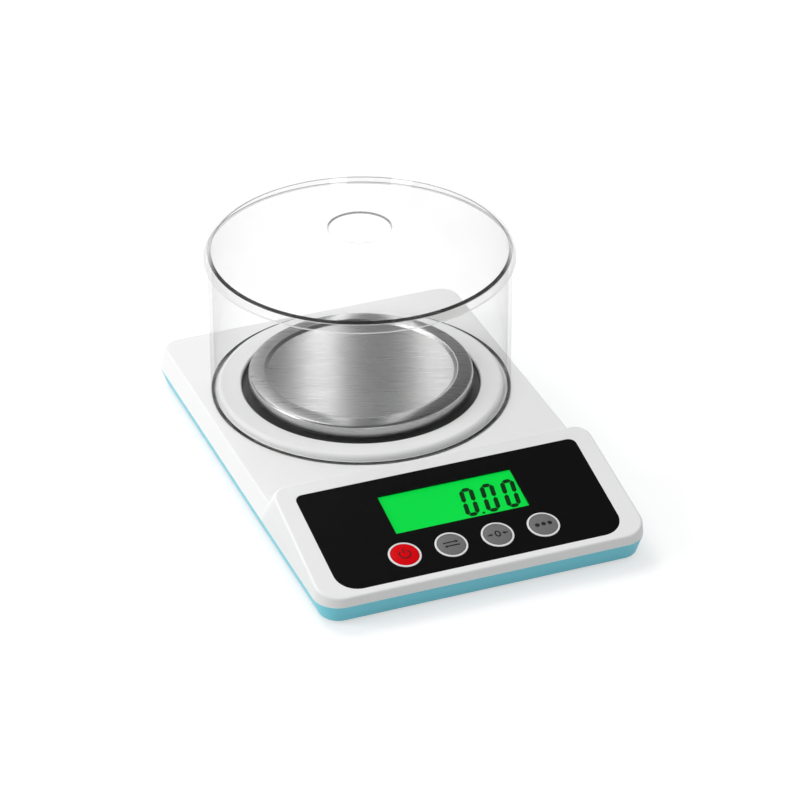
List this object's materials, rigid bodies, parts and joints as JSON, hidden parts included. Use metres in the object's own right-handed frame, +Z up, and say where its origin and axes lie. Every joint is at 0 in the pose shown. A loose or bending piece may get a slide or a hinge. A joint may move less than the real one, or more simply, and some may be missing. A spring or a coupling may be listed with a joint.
{
  "type": "precision balance",
  "caption": "Compact precision balance with a round pan under a lidded draft shield and a tilted console with a lit display and push buttons.",
  "frame": {"origin": "on the table, under the middle of the body's outline", "axes": "+X to the user's right, +Y away from the user, +Z up"},
  "size_m": [0.1718, 0.2576, 0.1148],
  "materials": {
    "housing_plastic": "white moulded plastic, fine satin grain",
    "tray_plastic": "light blue moulded plastic, fine satin grain",
    "panel_black": "black overlay, smooth",
    "clear_window": "clear window, polished",
    "ring_plastic": "white satin",
    "button_red": "red, satin",
    "button_grey": "grey, satin",
    "switch_plastic": "black moulded",
    "lcd": "green lit liquid crystal display",
    "backlight": "green light guide",
    "circuit_board": "green solder mask",
    "zinc_steel": "zinc plated",
    "bare_aluminium": "machined",
    "cast_aluminium": "die cast",
    "sealing_rubber": "soft silicone",
    "pan_steel": "brushed stainless",
    "clear_acrylic": "clear, polished",
    "cell_sleeve": "plain sleeve",
    "contact_nickel": "nickel plated",
    "foot_rubber": "soft rubber"
  },
  "bodies": {
    "body": {"lower_housing": "tray_plastic", "upper_housing": "housing_plastic", "front_panel": "panel_black", "display_window": "clear_window", "button_rings": "ring_plastic", "tact_switches": "switch_plastic", "lcd_glass": "lcd", "lcd_backlight": "backlight", "lcd_frame": "switch_plastic", "display_board": "circuit_board", "display_board_screws": "zinc_steel", "load_cell": "bare_aluminium", "gauge_covers": "sealing_rubber", "load_cell_spacer": "zinc_steel", "load_cell_screws": "zinc_steel", "overload_stop": "zinc_steel", "converter_board": "circuit_board", "shielding_can": "zinc_steel", "converter_screws": "zinc_steel", "dc_socket": "switch_plastic", "battery_cells": "cell_sleeve", "battery_contacts": "contact_nickel", "rubber_feet": "foot_rubber", "housing_screws": "zinc_steel"},
    "support": {"pan_support": "cast_aluminium", "support_pads": "sealing_rubber", "support_screws": "zinc_steel"},
    "pan": {"weighing_pan": "pan_steel"},
    "shield": {"draft_shield": "clear_acrylic"},
    "lid": {"shield_lid": "clear_acrylic"},
    "door": {"battery_door": "tray_plastic"},
    "power": {"power_button": "button_red", "power_switch_plunger": "switch_plastic"},
    "mode": {"mode_button": "button_grey", "mode_switch_plunger": "switch_plastic"},
    "tare": {"tare_button": "button_grey", "tare_switch_plunger": "switch_plastic"},
    "count": {"count_button": "button_grey", "count_switch_plunger": "switch_plastic"}
  },
  "joints": [
    {"name": "pan_deflection", "type": "slide", "parent": "body", "child": "support", "axis": [0, 0, 1], "range_m": [-0.0003, 0], "stiffness_N_per_m": 30000, "springref_m": 0.0001, "deforming": ["load_cell"]},
    {"name": "pan_lift", "type": "slide", "parent": "support", "child": "pan", "axis": [0, 0, 1], "range_m": [0, 0.06]},
    {"name": "shield_lift", "type": "slide", "parent": "body", "child": "shield", "axis": [0, 0, 1], "range_m": [0, 0.1]},
    {"name": "lid_lift", "type": "slide", "parent": "shield", "child": "lid", "axis": [0, 0, 1], "range_m": [0, 0.04]},
    {"name": "door_slide", "type": "slide", "parent": "body", "child": "door", "axis": [0, -1, 0], "range_m": [0, 0.0058]},
    {"name": "power_press", "type": "slide", "parent": "body", "child": "power", "axis": [0, 0.2226, -0.9749], "range_m": [0, 0.0008], "stiffness_N_per_m": 2000},
    {"name": "mode_press", "type": "slide", "parent": "body", "child": "mode", "axis": [0, 0.2226, -0.9749], "range_m": [0, 0.0008], "stiffness_N_per_m": 2000},
    {"name": "tare_press", "type": "slide", "parent": "body", "child": "tare", "axis": [0, 0.2226, -0.9749], "range_m": [0, 0.0008], "stiffness_N_per_m": 2000},
    {"name": "count_press", "type": "slide", "parent": "body", "child": "count", "axis": [0, 0.2226, -0.9749], "range_m": [0, 0.0008], "stiffness_N_per_m": 2000}
  ]
}
